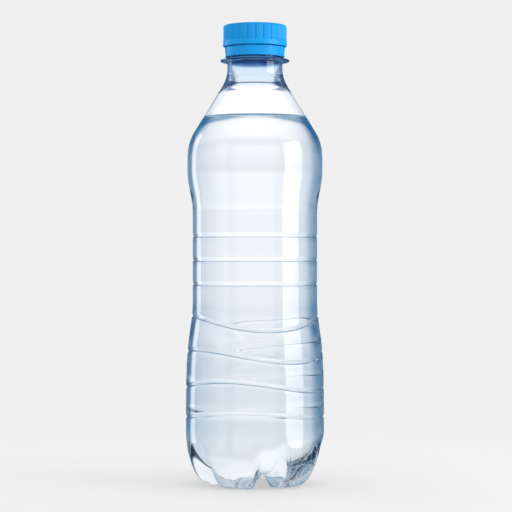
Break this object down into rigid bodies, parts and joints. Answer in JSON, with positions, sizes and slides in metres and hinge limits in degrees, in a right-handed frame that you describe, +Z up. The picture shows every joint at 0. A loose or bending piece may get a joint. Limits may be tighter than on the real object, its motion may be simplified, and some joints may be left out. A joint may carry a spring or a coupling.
{
  "type": "full plastic water bottle with screw cap",
  "caption": "Clear half-litre plastic drink bottle, full of water and sealed, with grooved waist, footed base and a ribbed blue screw cap that unscrews.",
  "frame": {"origin": "on the floor under the middle of the bottle, at the level of its five feet", "axes": "+Z up along the bottle's axis to the cap; -Y is the side the picture shows, +X to its right"},
  "size_m": [0.0656, 0.0656, 0.218],
  "materials": {
    "clear_pet": "gloss",
    "water": "polished",
    "blue_cap": "satin",
    "liner_foam": "matte"
  },
  "bodies": {
    "bottle_body": {"bottle": "clear_pet", "water": "water", "tamper_band": "blue_cap"},
    "liner_body": {"cap_liner": "liner_foam"},
    "cap_body": {"cap": "blue_cap"}
  },
  "joints": [
    {"name": "cap_lift", "type": "slide", "parent": "bottle_body", "child": "liner_body", "axis": [0, 0, 1], "range_m": [0, 0.009]},
    {"name": "cap_turn", "type": "hinge", "parent": "liner_body", "child": "cap_body", "pos_m": [0, 0, 0.2078], "axis": [0, 0, 1], "range_deg": [0, 360]}
  ],
  "couplings": [
    {"joint": "cap_lift", "follows": "cap_turn", "m_per_rad": 0.0014323}
  ]
}
